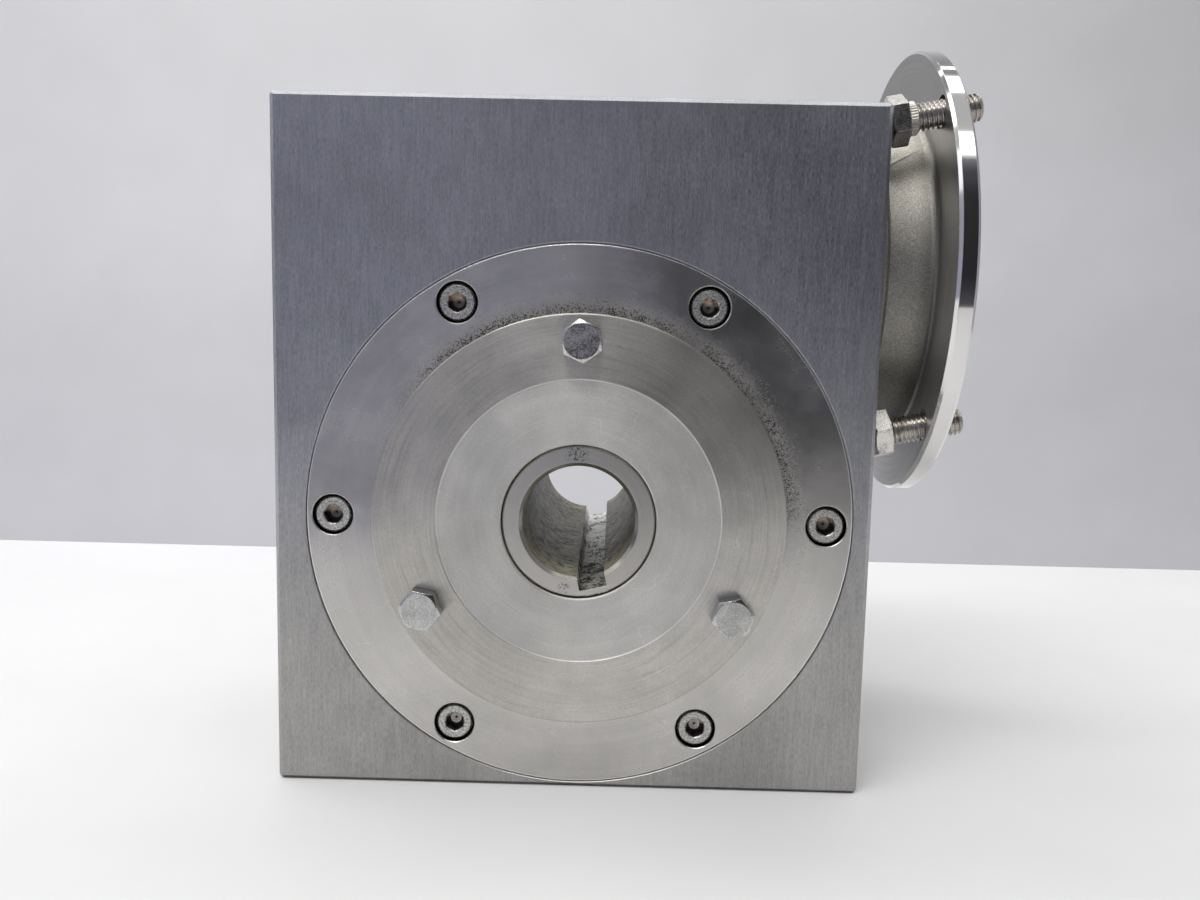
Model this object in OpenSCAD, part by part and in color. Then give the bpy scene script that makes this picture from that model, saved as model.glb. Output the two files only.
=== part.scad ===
// Right-angle worm gearbox with a hollow output shaft and a NEMA C-face motor flange.
// Origin: centre of the output bore. +X motor side, -Y front cover, +Z up. Millimetres.

/* [Housing] */
// Width of the machined block along X
housing_width = 203.2; // [190:0.1:215]
// Depth of the block along Y, cover face to cover face
housing_depth = 133.35; // [125:0.05:145]
// Height of the output axis above the base
axis_height = 95; // [94.5:0.1:105]
// Height of the block above the output axis
height_above_axis = 140; // [130:0.1:150]
// Offset of the block's centre from the output axis along X
housing_shift = -2.3; // [-5:0.1:5]
// Chamfer on the block's outer edges
edge_chamfer = 1.4; // [0.4:0.1:3]
// Radius of the wheel chamber
chamber_r = 78; // [76:0.1:80]
// Spacing of the base holes along X
base_hole_x = 165.1; // [150:0.1:175]
// Spacing of the base holes along Y
base_hole_y = 95.25; // [80:0.05:100]
// Radius of the base holes
base_hole_r = 4.76; // [3:0.01:6]
// Depth of the base holes
base_hole_depth = 18; // [10:0.5:22]

/* [Covers] */
// Radius of the round covers
cover_r = 93; // [90:0.1:93]
// Thickness of the cover rim let into the housing
cover_rim = 14; // [12:0.5:16]
// Radial gap between cover and housing
cover_gap = 0.2; // [0.1:0.05:0.5]
// Radius of the raised boss
boss_r = 70; // [66:0.1:74]
// Height of the raised boss
boss_height = 4; // [2:0.1:6]
// Radius of the shallow inner face
face_r = 48.3; // [45:0.1:52]
// Step of the shallow inner face
face_step = 0.25; // [0.1:0.05:0.6]
// Radius of the cover screw circle
screw_circle_r = 84; // [82:0.1:86]
// Number of screws in each cover
screw_count = 6; // [4:1:8]
// Radius of the counterbores
counterbore_r = 6.95; // [6.5:0.05:8]
// Depth of the counterbores
counterbore_depth = 8.6; // [8:0.1:10]
// Radius of the boss bolt circle
boss_bolt_circle_r = 61; // [58:0.1:64]
// Radius of the empty tapped holes in the rear boss
boss_tap_r = 3.4; // [3:0.05:3.8]
// Radial gap between output shaft and cover
shaft_gap = 0.35; // [0.2:0.05:2]
// Depth of the shaft end below the cover's inner face
shaft_recess = 0.8; // [0:0.1:3]

/* [Fasteners] */
// Radius of the socket screw heads
socket_head_r = 6.3; // [5.5:0.05:6.5]
// Height of the socket screw heads
socket_head_h = 7.9; // [6:0.1:8]
// Hex socket size across flats
socket_flats = 6; // [5:0.05:7]
// Thread radius of cover screws and boss bolts
small_thread_r = 3.97; // [3:0.01:5]
// Boss bolt head size across flats
boss_bolt_flats = 12.7; // [12:0.1:14]
// Boss bolt head height
boss_bolt_head = 5.4; // [4:0.1:6]
// Gap below the boss bolt heads
boss_bolt_gap = 0.3; // [0:0.1:4]
// Motor bolt thread radius
motor_bolt_r = 4.76; // [4:0.01:6]
// Motor bolt head size across flats
motor_bolt_flats = 15; // [13:0.1:17]
// Motor bolt head height
motor_bolt_head = 6.2; // [5:0.1:8]
// Motor bolt length under the head
motor_bolt_length = 25.4; // [22:0.1:32]

/* [Output] */
// Radius of the output bore
bore_r = 19.05; // [15:0.05:20]
// Width of the output keyway
keyway_width = 9.525; // [6:0.005:12]
// Distance of the keyway floor from the bore axis
keyway_floor = 23.34; // [21:0.01:24]
// Direction of the keyway in the front view, from +X towards +Z
keyway_angle = -76.5; // [-180:0.5:180]
// Outer radius of the shaft ends
shaft_end_r = 26; // [25:0.1:27]
// Chamfer at the mouth of the output bore
bore_chamfer = 1.3; // [0.5:0.1:2]

/* [Worm gear] */
// Centre distance
centre_distance = 87; // [85:0.1:90]
// Number of wheel teeth
wheel_teeth = 30; // [20:1:40]
// Axial module
gear_module = 4.5; // [3:0.05:6]
// Width of the wheel rim
rim_width = 28; // [20:0.5:30]
// Thinning of each worm flank for running clearance
worm_thinning = 0.14; // [0.05:0.01:0.3]
// Thinning of each wheel flank for running clearance
wheel_thinning = 0.22; // [0.05:0.01:0.4]

/* [Motor side] */
// Outer radius of the motor flange
flange_r = 82.55; // [80:0.05:85]
// Thickness of the motor flange
flange_thickness = 6.8; // [5:0.1:10]
// Distance between the housing and the flange
neck_length = 19; // [15:0.5:25]
// Outer radius of the neck at the flange
neck_r = 59.5; // [58:0.1:64]
// Fillet between the neck and the flange
neck_fillet = 3; // [1:0.5:6]
// Radius of the motor pilot recess
pilot_r = 57.15; // [55:0.05:58]
// Depth of the motor pilot recess
pilot_depth = 4.8; // [3:0.1:6]
// Radius of the motor bolt circle
motor_circle_r = 74.6; // [70:0.1:76]
// Radius of the motor bolt holes
motor_hole_r = 5.55; // [5:0.05:6]
// Radius of the input bore
input_bore_r = 7.94; // [6:0.01:10]
// Width of the input keyway
input_key_width = 4.8; // [3:0.1:6]

/* [Hidden] */
$fn = 96;
face_y = housing_depth / 2;
shaft_y = face_y + boss_height;
side_x = housing_shift + housing_width / 2;
tail_x = housing_shift - housing_width / 2;
top_z = height_above_axis;
shaft_half = shaft_y - face_step - shaft_recess;
rim_in_y = face_y - cover_rim;
flange_x = side_x + neck_length;
flange_front = flange_x + flange_thickness;
bearing_y = 30;
bearing_b = 21;
bearing_seat_r = 27.5;
bearing_out_r = 50;
wheel_seat_r = 30;
wheel_half = rim_width / 2 + 1;
hub_r = 55;
worm_bearing_x = 52;
worm_bearing_b = 17;
worm_seat_r = 17.5;
worm_bearing_r = 36;
pitch_r = gear_module * wheel_teeth / 2;
tip_r = pitch_r + gear_module;
root_r = pitch_r - 1.2 * gear_module;
worm_pitch_r = centre_distance - pitch_r;
worm_tip_r = worm_pitch_r + gear_module;
worm_root_r = worm_pitch_r - 1.2 * gear_module;
lead = PI * gear_module;
pressure = 20;
thread_turns = 5;
helix_slope = 0.96 * lead / (2 * PI * worm_pitch_r);
front = -1;
rear = 1;

// ---- shared helpers ----

// Cylinder along Y from y0 to y1
module ycyl(r, y0, y1) { translate([0, y0, 0]) rotate([-90, 0, 0]) cylinder(r = r, h = y1 - y0); }

// Cylinder along X from x0 to x1
module xcyl(r, x0, x1) { translate([x0, 0, 0]) rotate([0, 90, 0]) cylinder(r = r, h = x1 - x0); }

// Turned piece around Z from half-profile points
module turned(points) { rotate_extrude() polygon(points); }

// Places a piece built along +Z (outwards) on the front or rear side of the output axis
module on_side(side) { rotate([side == front ? 90 : -90, 0, 0]) children(); }

// Moves a piece built around Z onto the worm axis, +Z becoming +X
module on_worm_axis() { translate([0, 0, centre_distance]) rotate([0, 90, 0]) children(); }

// Puts children at angles around Z on a circle
module around(n, r, start = 0) {
  for (i = [0 : n - 1]) rotate([0, 0, start + i * 360 / n]) translate([r, 0, 0]) children();
}

// Solid hex along Z by its size across flats
module hex(flats, h) { cylinder(r = flats / 2 / cos(30), h = h, $fn = 6); }

// Socket screw, head top at z = 0, pointing down
module socket_screw(length) {
  difference() {
    union() {
      turned([[0, -socket_head_h], [socket_head_r, -socket_head_h], [socket_head_r, -0.7],
        [socket_head_r - 0.7, 0], [0, 0]]);
      translate([0, 0, -socket_head_h - length]) cylinder(r = small_thread_r, h = length + 1);
    }
    translate([0, 0, -4.2]) hex(socket_flats, 5);
    translate([0, 0, -0.5]) cylinder(r1 = socket_flats / 2 + 0.1, r2 = socket_flats / 2 + 0.8, h = 0.7);
    translate([0, 0, -4.9]) cylinder(r1 = 0.3, r2 = 1.9, h = 0.8);
  }
}

// Hex head with chamfered corners, seat at z = 0
module hex_head(flats, h) {
  intersection() {
    hex(flats, h);
    union() {
      translate([0, 0, -1]) cylinder(r = flats, h = 1 + h - flats * 0.09);
      translate([0, 0, h - flats * 0.09 - 0.01])
        cylinder(r1 = flats / 2 + flats * 0.13, r2 = flats / 2 - 0.45, h = flats * 0.09 + 0.02);
    }
  }
}

// Ring with a round section, lying in the XY plane
module round_ring(r, section) {
  rotate_extrude() translate([r, 0]) circle(r = section, $fn = 48);
}

// ---- ball bearings, built from z = 0 to z = b ----

module bearing_outer(id_r, od_r, b, ball_r) {
  pitch = (id_r + od_r) / 2;
  difference() {
    turned([[pitch + ball_r * 0.55, 0], [od_r - 1, 0], [od_r, 1], [od_r, b - 1], [od_r - 1, b],
      [pitch + ball_r * 0.55, b]]);
    translate([0, 0, b / 2]) round_ring(pitch, ball_r + 0.04);
  }
}

module bearing_inner(id_r, od_r, b, ball_r) {
  pitch = (id_r + od_r) / 2;
  difference() {
    turned([[id_r + 0.03, 1], [id_r + 1, 0], [pitch - ball_r * 0.55, 0], [pitch - ball_r * 0.55, b],
      [id_r + 1, b], [id_r + 0.03, b - 1]]);
    translate([0, 0, b / 2]) round_ring(pitch, ball_r + 0.36);
  }
}

module bearing_balls(id_r, od_r, b, ball_r, n) {
  translate([0, 0, b / 2]) around(n, (id_r + od_r) / 2) sphere(r = ball_r);
}

module bearing_cage(id_r, od_r, b, ball_r, n) {
  pitch = (id_r + od_r) / 2;
  difference() {
    translate([0, 0, b * 0.09]) difference() {
      cylinder(r = pitch + 1.1, h = b * 0.82);
      translate([0, 0, -1]) cylinder(r = pitch - 1.1, h = b + 2);
    }
    for (i = [0 : n - 1]) translate([0, 0, b / 2]) rotate([0, 90, i * 360 / n])
      translate([0, 0, pitch - 4]) cylinder(r = ball_r + 0.15, h = 8);
  }
}

// ---- housing ----

module chamfered_block(x0, x1, y0, y1, z0, z1, c) {
  intersection() {
    translate([x0, 0, z0]) rotate([-90, 0, 0]) translate([0, 0, y0]) linear_extrude(y1 - y0)
      polygon([for (p = [[c, 0], [x1 - x0 - c, 0], [x1 - x0, c], [x1 - x0, z1 - z0 - c],
        [x1 - x0 - c, z1 - z0], [c, z1 - z0], [0, z1 - z0 - c], [0, c]]) [p[0], -p[1]]]);
    translate([x0, y0, z0]) linear_extrude(z1 - z0)
      polygon([[c, 0], [x1 - x0 - c, 0], [x1 - x0, c], [x1 - x0, y1 - y0 - c],
        [x1 - x0 - c, y1 - y0], [c, y1 - y0], [0, y1 - y0 - c], [0, c]]);
    translate([x0, y0, z0]) rotate([90, 0, 90]) linear_extrude(x1 - x0)
      polygon([[c, 0], [y1 - y0 - c, 0], [y1 - y0, c], [y1 - y0, z1 - z0 - c],
        [y1 - y0 - c, z1 - z0], [c, z1 - z0], [0, z1 - z0 - c], [0, c]]);
  }
}

module housing() {
  color([0.62, 0.63, 0.64]) difference() {
    chamfered_block(tail_x, side_x, -face_y, face_y, -axis_height, top_z, edge_chamfer);
    ycyl(chamber_r, -face_y - 1, face_y + 1);
    for (side = [front, rear]) on_side(side) {
      translate([0, 0, rim_in_y]) cylinder(r = cover_r + cover_gap, h = cover_rim + 1);
      translate([0, 0, face_y - 0.3])
        cylinder(r1 = cover_r + cover_gap, r2 = cover_r + cover_gap + 0.35, h = 0.35);
      translate([0, 0, rim_in_y - 20]) around(screw_count, screw_circle_r)
        cylinder(r = small_thread_r + 0.08, h = 21);
    }
    on_worm_axis() {
      translate([0, 0, tail_x - 1]) cylinder(r = 31, h = housing_width + 2);
      translate([0, 0, worm_bearing_x]) cylinder(r = worm_bearing_r + 0.03, h = 60);
      translate([0, 0, tail_x - 1])
        cylinder(r = worm_bearing_r + 0.03, h = 1 - tail_x - worm_bearing_x);
      translate([0, 0, worm_bearing_x + worm_bearing_b]) cylinder(r = 38.2, h = 2.7);
      translate([0, 0, -worm_bearing_x - worm_bearing_b - 2.7]) cylinder(r = 38.2, h = 2.7);
      translate([0, 0, tail_x - 1]) cylinder(r = 50.2, h = 9.4);
      translate([0, 0, tail_x + 7]) around(4, 43, 45) cylinder(r = 3.08, h = 16);
      translate([0, 0, side_x - 20]) around(4, 44.5) cylinder(r = small_thread_r + 0.08, h = 21);
    }
    for (sx = [-1, 1], sy = [-1, 1])
      translate([housing_shift + sx * base_hole_x / 2, sy * base_hole_y / 2, -axis_height - 1])
        cylinder(r = base_hole_r, h = base_hole_depth + 1);
    plug_seats();
  }
}

// Drilled passages and seats of the three oil plugs
module plug_seats() {
  translate([-32, 0, top_z - 13]) cylinder(r = 8.6, h = 14);
  translate([-32, 0, 100]) cylinder(r = 6, h = top_z - 100);
  translate([0, 38, -8]) {
    xcyl(8.6, tail_x - 1, tail_x + 13);
    xcyl(6, tail_x, -50);
  }
  translate([0, 30, -68]) {
    xcyl(8.6, side_x - 13, side_x + 1);
    xcyl(6, 20, side_x);
  }
}

// Flush socket plug, outer face at z = 0
module oil_plug() {
  difference() {
    turned([[0, -11.5], [7.5, -11.5], [8.5, -10.5], [8.5, -1.2], [7.7, -0.4], [0, -0.4]]);
    translate([0, 0, -7]) hex(9.5, 8);
  }
}

module oil_plugs() {
  color([0.6, 0.61, 0.62]) {
    translate([-32, 0, top_z]) oil_plug();
    translate([tail_x, 38, -8]) rotate([0, -90, 0]) oil_plug();
    translate([side_x, 30, -68]) rotate([0, 90, 0]) oil_plug();
  }
}

// ---- covers, built with +Z outwards ----

// Half-profile of a cover: bore, seal seat, bearing seat, spigot with its ring groove, rim, boss
function cover_profile() = [
  [shaft_end_r + shaft_gap, face_y - 7], [36.03, face_y - 7], [36.03, bearing_y + bearing_b],
  [bearing_out_r + 0.03, bearing_y + bearing_b], [bearing_out_r + 0.03, bearing_y],
  [60, bearing_y], [60, 44], [chamber_r - 0.6, 44], [chamber_r - 0.1, 44.5],
  [chamber_r - 0.1, 46.5], [chamber_r - 2.7, 46.5], [chamber_r - 2.7, 50],
  [chamber_r - 0.1, 50], [chamber_r - 0.1, rim_in_y], [cover_r, rim_in_y],
  [cover_r, face_y - 0.4], [cover_r - 0.4, face_y], [boss_r, face_y],
  [boss_r, shaft_y - 0.3], [boss_r - 0.3, shaft_y], [face_r, shaft_y],
  [face_r, shaft_y - face_step], [shaft_end_r + shaft_gap + 0.5, shaft_y - face_step],
  [shaft_end_r + shaft_gap, shaft_y - face_step - 0.5]];

// Cover with its six counterbored holes and three boss holes
module cover(boss_hole_r) {
  difference() {
    turned(cover_profile());
    around(screw_count, screw_circle_r) {
      translate([0, 0, face_y - counterbore_depth]) cylinder(r = counterbore_r, h = 20);
      translate([0, 0, face_y - 0.3]) cylinder(r1 = counterbore_r, r2 = counterbore_r + 0.35, h = 0.35);
      translate([0, 0, 40]) cylinder(r = small_thread_r + 0.3, h = 40);
    }
    around(3, boss_bolt_circle_r, 90)
      translate([0, 0, shaft_y - 20]) cylinder(r = boss_hole_r, h = 21);
  }
}

module front_cover() { color([0.7, 0.7, 0.69]) on_side(front) cover(small_thread_r + 0.05); }
module rear_cover() { color([0.7, 0.7, 0.69]) on_side(rear) cover(boss_tap_r); }

// Turn of each cover screw about its own axis, from a corner pointing outwards
screw_turn = [3, 16, 0, 27, 0, -8];

module cover_screws(side) {
  color([0.55, 0.54, 0.52]) on_side(side) for (i = [0 : screw_count - 1])
    rotate([0, 0, i * 360 / screw_count])
      translate([screw_circle_r, 0, face_y - counterbore_depth + socket_head_h])
        rotate([0, 0, 30 + screw_turn[i % 6]]) socket_screw(22);
}

module front_cover_screws() { cover_screws(front); }
module rear_cover_screws() { cover_screws(rear); }

module front_boss_bolts() {
  color([0.66, 0.67, 0.68]) on_side(front) for (i = [0 : 2])
    rotate([0, 0, 90 + i * 120]) translate([boss_bolt_circle_r, 0, shaft_y]) {
      translate([0, 0, boss_bolt_gap]) rotate([0, 0, [6.5, 20, 42][i]])
        hex_head(boss_bolt_flats, boss_bolt_head);
      translate([0, 0, -18]) cylinder(r = small_thread_r - 0.02, h = 18 + boss_bolt_gap + 1);
    }
}

module cover_seal(side) {
  color([0.12, 0.12, 0.12]) on_side(side) translate([0, 0, 48.25])
    round_ring(chamber_r - 1.4, 1.25);
}

module front_cover_seal() { cover_seal(front); }
module rear_cover_seal() { cover_seal(rear); }

// ---- output shaft and wheel ----

module output_shaft() {
  color([0.64, 0.63, 0.6]) difference() {
    rotate([-90, 0, 0]) difference() {
      turned([[bore_r + bore_chamfer, -shaft_half], [shaft_end_r - 0.6, -shaft_half],
        [shaft_end_r, -shaft_half + 0.6], [shaft_end_r, -bearing_y - bearing_b - 3.6],
        [bearing_seat_r, -bearing_y - bearing_b - 3.6], [bearing_seat_r, -bearing_y - bearing_b - 2.6],
        [bearing_seat_r - 1, -bearing_y - bearing_b - 2.6], [bearing_seat_r - 1, -bearing_y - bearing_b],
        [bearing_seat_r, -bearing_y - bearing_b], [bearing_seat_r, -wheel_half - 1],
        [wheel_seat_r, -wheel_half - 1], [wheel_seat_r, wheel_half], [33, wheel_half],
        [33, bearing_y], [bearing_seat_r, bearing_y], [bearing_seat_r, bearing_y + bearing_b],
        [bearing_seat_r - 1, bearing_y + bearing_b], [bearing_seat_r - 1, bearing_y + bearing_b + 2.6],
        [bearing_seat_r, bearing_y + bearing_b + 2.6], [bearing_seat_r, bearing_y + bearing_b + 3.6],
        [shaft_end_r, bearing_y + bearing_b + 3.6], [shaft_end_r, shaft_half - 0.6],
        [shaft_end_r - 0.6, shaft_half], [bore_r + bore_chamfer, shaft_half],
        [bore_r, shaft_half - bore_chamfer], [bore_r, -shaft_half + bore_chamfer]]);
    }
    rotate([0, -keyway_angle, 0]) translate([0, -shaft_y - 1, -keyway_width / 2])
      cube([keyway_floor, 2 * shaft_y + 2, keyway_width]);
    key_block(0.05);
  }
}

// Key between the shaft and the wheel hub, on the far side from the output keyway
module key_block(gap) {
  rotate([0, -keyway_angle + 180, 0]) translate([wheel_seat_r - 4 - gap, -11 - gap, -4 - gap])
    cube([7.5 + gap, 22 + 2 * gap, 8 + 2 * gap]);
}

module wheel_key() { color([0.5, 0.5, 0.5]) key_block(0); }

module wheel_hub() {
  color([0.35, 0.35, 0.36]) difference() {
    rotate([-90, 0, 0]) turned([[wheel_seat_r + 0.03, -wheel_half], [40, -wheel_half],
      [41, -rim_width / 2 + 4], [hub_r - 6, -rim_width / 2 + 4], [hub_r - 5, -rim_width / 2],
      [hub_r, -rim_width / 2], [hub_r, rim_width / 2], [hub_r - 5, rim_width / 2],
      [hub_r - 6, rim_width / 2 - 4], [41, rim_width / 2 - 4], [40, wheel_half],
      [wheel_seat_r + 0.03, wheel_half]]);
    rotate([0, -keyway_angle + 180, 0]) translate([0, -20, -4.05]) cube([33.6, 40, 8.1]);
  }
}

// Involute function in degrees
function inv(p) = tan(p) * 180 / PI - p;

// Half angle of a wheel tooth at radius r
function tooth_half(r) =
  let (rb = pitch_r * cos(pressure), p = r > rb ? acos(rb / r) : 0,
    at_pitch = (lead / 4 - wheel_thinning) / pitch_r * 180 / PI)
  at_pitch + inv(pressure) - inv(p);

flank_r = [for (i = [0 : 5]) root_r + (tip_r - root_r) * i / 5];

module worm_wheel() {
  twist = 2 * asin(helix_slope * rim_width / 2 / pitch_r);
  color([0.72, 0.52, 0.22]) rotate([-90, 0, 0]) rotate([0, 0, -twist / 2])
    translate([0, 0, -rim_width / 2]) linear_extrude(rim_width, twist = -twist, slices = 3)
      difference() {
        polygon([for (k = [0 : wheel_teeth - 1], j = [-6 : 5])
          let (r = j < 0 ? flank_r[j + 6] : flank_r[5 - j], h = tooth_half(r),
            a = k * 360 / wheel_teeth + (j < 0 ? -h : h)) [r * cos(a), r * sin(a)]]);
        circle(r = hub_r + 0.08);
      }
}

module wheel_spacer() {
  color([0.5, 0.5, 0.5]) rotate([-90, 0, 0])
    turned([[bearing_seat_r + 0.03, -bearing_y], [33, -bearing_y], [33, -wheel_half - 1.1],
      [35, -wheel_half - 1.1], [35, -wheel_half], [wheel_seat_r + 0.1, -wheel_half],
      [wheel_seat_r + 0.1, -wheel_half - 1.05], [bearing_seat_r + 0.03, -wheel_half - 1.05]]);
}

module output_circlips() {
  color([0.3, 0.3, 0.3]) for (side = [front, rear]) on_side(side)
    translate([0, 0, bearing_y + bearing_b + 0.1]) difference() {
      cylinder(r = 31, h = 2.4);
      translate([0, 0, -1]) cylinder(r = bearing_seat_r - 0.9, h = 5);
      translate([22, -2, -1]) cube([12, 4, 5]);
    }
}

module output_bearing(side, piece) {
  on_side(side) translate([0, 0, bearing_y])
    bearing_piece(bearing_seat_r, bearing_out_r, bearing_b, 7.1, 11, piece);
}

module bearing_piece(id_r, od_r, b, ball_r, n, piece) {
  if (piece == 0) color([0.6, 0.6, 0.62]) bearing_outer(id_r, od_r, b, ball_r);
  if (piece == 1) color([0.6, 0.6, 0.62]) bearing_inner(id_r, od_r, b, ball_r);
  if (piece == 2) color([0.75, 0.75, 0.77]) bearing_balls(id_r, od_r, b, ball_r, n);
  if (piece == 3) color([0.7, 0.55, 0.25]) bearing_cage(id_r, od_r, b, ball_r, n);
}

module front_bearing_outer() { output_bearing(front, 0); }
module front_bearing_inner() { output_bearing(front, 1); }
module front_bearing_balls() { output_bearing(front, 2); }
module front_bearing_cage() { output_bearing(front, 3); }
module rear_bearing_outer() { output_bearing(rear, 0); }
module rear_bearing_inner() { output_bearing(rear, 1); }
module rear_bearing_balls() { output_bearing(rear, 2); }
module rear_bearing_cage() { output_bearing(rear, 3); }

module shaft_seal(side) {
  color([0.14, 0.1, 0.08]) on_side(side)
    translate([0, 0, face_y - 7.3]) turned([[35, -5.2], [36, -4.2], [36, 0], [29, 0], [27.2, -1.2],
      [shaft_end_r + 0.05, -2.4], [shaft_end_r + 0.05, -3.8], [28.6, -4.5], [28.6, -5.2]]);
}

module front_shaft_seal() { shaft_seal(front); }
module rear_shaft_seal() { shaft_seal(rear); }

// ---- worm line, built along +Z and turned onto +X ----

// Worm cross-section radius at an angle from the crest, for straight flanks in the axial section
function worm_r(a) =
  let (flank = lead / 4 - worm_thinning - abs(a) * lead / 360)
  max(worm_root_r, min(worm_tip_r, worm_pitch_r + flank / tan(pressure)));

module worm_thread() {
  length = thread_turns * lead;
  translate([0, 0, -length / 2]) rotate([0, 0, -180 * thread_turns])
    linear_extrude(length, twist = -360 * thread_turns, slices = 18 * thread_turns, $fn = 24)
      polygon([for (a = [-174 : 12 : 174]) [worm_r(a) * cos(a), worm_r(a) * sin(a)]]);
}

module worm_shaft() {
  half = thread_turns * lead / 2;
  color([0.55, 0.55, 0.57]) on_worm_axis() difference() {
    union() {
      worm_thread();
      translate([0, 0, -half - 3]) cylinder(r = 13, h = 2 * half + 6);
      turned([[0, half + 2], [20.5, half + 2], [20.5, worm_bearing_x], [worm_seat_r, worm_bearing_x],
        [worm_seat_r, side_x + 3.2], [worm_seat_r - 0.8, side_x + 4], [0, side_x + 4]]);
      turned([[0, -half - 2], [20.5, -half - 2], [20.5, -worm_bearing_x],
        [worm_seat_r, -worm_bearing_x], [worm_seat_r, -worm_bearing_x - worm_bearing_b],
        [worm_seat_r - 1, -worm_bearing_x - worm_bearing_b],
        [worm_seat_r - 1, -worm_bearing_x - worm_bearing_b - 2.6],
        [worm_seat_r, -worm_bearing_x - worm_bearing_b - 2.6],
        [worm_seat_r, -worm_bearing_x - worm_bearing_b - 4.6], [0, -worm_bearing_x - worm_bearing_b - 4.6]]);
    }
    translate([0, 0, 45]) cylinder(r = input_bore_r, h = 100);
    translate([-9.9, -input_key_width / 2, 47]) cube([9.9, input_key_width, 100]);
    translate([0, 0, side_x + 3]) cylinder(r1 = input_bore_r, r2 = input_bore_r + 1.1, h = 1.1);
  }
}

module worm_bearing(side, piece) {
  on_worm_axis() translate([0, 0, side > 0 ? worm_bearing_x : -worm_bearing_x - worm_bearing_b])
    bearing_piece(worm_seat_r, worm_bearing_r, worm_bearing_b, 5.55, 9, piece);
}

module input_bearing_outer() { worm_bearing(1, 0); }
module input_bearing_inner() { worm_bearing(1, 1); }
module input_bearing_balls() { worm_bearing(1, 2); }
module input_bearing_cage() { worm_bearing(1, 3); }
module tail_bearing_outer() { worm_bearing(-1, 0); }
module tail_bearing_inner() { worm_bearing(-1, 1); }
module tail_bearing_balls() { worm_bearing(-1, 2); }
module tail_bearing_cage() { worm_bearing(-1, 3); }

module input_seal() {
  color([0.14, 0.1, 0.08]) on_worm_axis() translate([0, 0, 84])
    turned([[35, 0], [36, 1], [36, 9], [21, 9], [19, 8], [worm_seat_r + 0.05, 6.5],
      [worm_seat_r + 0.05, 4.5], [20, 3], [20, 0]]);
}

module worm_bearing_rings() {
  color([0.3, 0.3, 0.3]) on_worm_axis()
    for (z = [worm_bearing_x + worm_bearing_b + 0.1, -worm_bearing_x - worm_bearing_b - 2.6])
      translate([0, 0, z]) difference() {
        cylinder(r = 38.1, h = 2.5);
        translate([0, 0, -1]) cylinder(r = 31.5, h = 5);
        translate([28, -4, -1]) cube([12, 8, 5]);
      }
}

module worm_circlip() {
  color([0.3, 0.3, 0.3]) on_worm_axis()
    translate([0, 0, -worm_bearing_x - worm_bearing_b - 2.5]) difference() {
      cylinder(r = 21, h = 2.4);
      translate([0, 0, -1]) cylinder(r = worm_seat_r - 0.9, h = 5);
      translate([12, -2, -1]) cube([12, 4, 5]);
    }
}

module tail_cap() {
  color([0.66, 0.66, 0.66]) on_worm_axis() difference() {
    turned([[0, tail_x], [49.6, tail_x], [50, tail_x + 0.4], [50, tail_x + 8.3],
      [worm_bearing_r - 0.05, tail_x + 8.3], [worm_bearing_r - 0.05, tail_x + 11],
      [worm_bearing_r - 2.7, tail_x + 11], [worm_bearing_r - 2.7, tail_x + 14.5],
      [worm_bearing_r - 0.05, tail_x + 14.5], [worm_bearing_r - 0.05, tail_x + 19],
      [28, tail_x + 19], [28, tail_x + 10], [0, tail_x + 10]]);
    around(4, 43, 45) {
      translate([0, 0, tail_x - 1]) cylinder(r = 5.2, h = 6.5);
      translate([0, 0, tail_x]) cylinder(r = 3.3, h = 12);
    }
  }
}

module tail_cap_screws() {
  color([0.55, 0.54, 0.52]) on_worm_axis() around(4, 43, 45) difference() {
    union() {
      translate([0, 0, tail_x + 0.6]) cylinder(r = 4.9, h = 4.9);
      translate([0, 0, tail_x + 5]) cylinder(r = 3, h = 16);
    }
    translate([0, 0, tail_x]) hex(5, 3.2);
  }
}

module tail_cap_seal() {
  color([0.12, 0.12, 0.12]) on_worm_axis()
    translate([0, 0, tail_x + 12.75]) round_ring(worm_bearing_r - 1.4, 1.25);
}

// ---- motor side ----

// Outer half-profile of the adapter, neck fillet drawn in small steps
function adapter_outer() = concat(
  [[59.2, side_x + 0.5], [59.2, side_x + 2.2], [58.2, side_x + 3.4]],
  [for (i = [0 : 6]) let (a = i * 15)
    [neck_r - 0.3 + neck_fillet * (1 - cos(a)), flange_x - neck_fillet * (1 - sin(a))]],
  [[flange_r - 1, flange_x], [flange_r, flange_x + 1], [flange_r, flange_front - 1],
    [flange_r - 1, flange_front]]);

module motor_adapter() {
  color([0.55, 0.54, 0.5]) on_worm_axis() difference() {
    turned(concat(adapter_outer(), [[pilot_r + 0.6, flange_front], [pilot_r, flange_front - 0.6],
      [pilot_r, flange_front - pilot_depth], [52, flange_front - pilot_depth],
      [51, side_x + 10], [24, side_x + 10], [24, side_x - 5.5], [35.9, side_x - 5.5],
      [35.9, side_x + 0.5]]));
    around(4, motor_circle_r, 45)
      translate([0, 0, flange_x - 1]) cylinder(r = motor_hole_r, h = flange_thickness + 2);
    around(4, 44.5) translate([0, 0, side_x - 1]) cylinder(r = small_thread_r + 0.3, h = 20);
  }
}

module adapter_gasket() {
  color([0.2, 0.22, 0.2]) on_worm_axis() difference() {
    translate([0, 0, side_x + 0.02]) cylinder(r = 59, h = 0.46);
    translate([0, 0, side_x - 1]) cylinder(r = 36.2, h = 3);
    around(4, 44.5) translate([0, 0, side_x - 1]) cylinder(r = 4.4, h = 3);
  }
}

module adapter_screws() {
  color([0.3, 0.3, 0.31]) on_worm_axis() around(4, 44.5)
    translate([0, 0, side_x + 10 + socket_head_h]) socket_screw(24);
}

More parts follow.
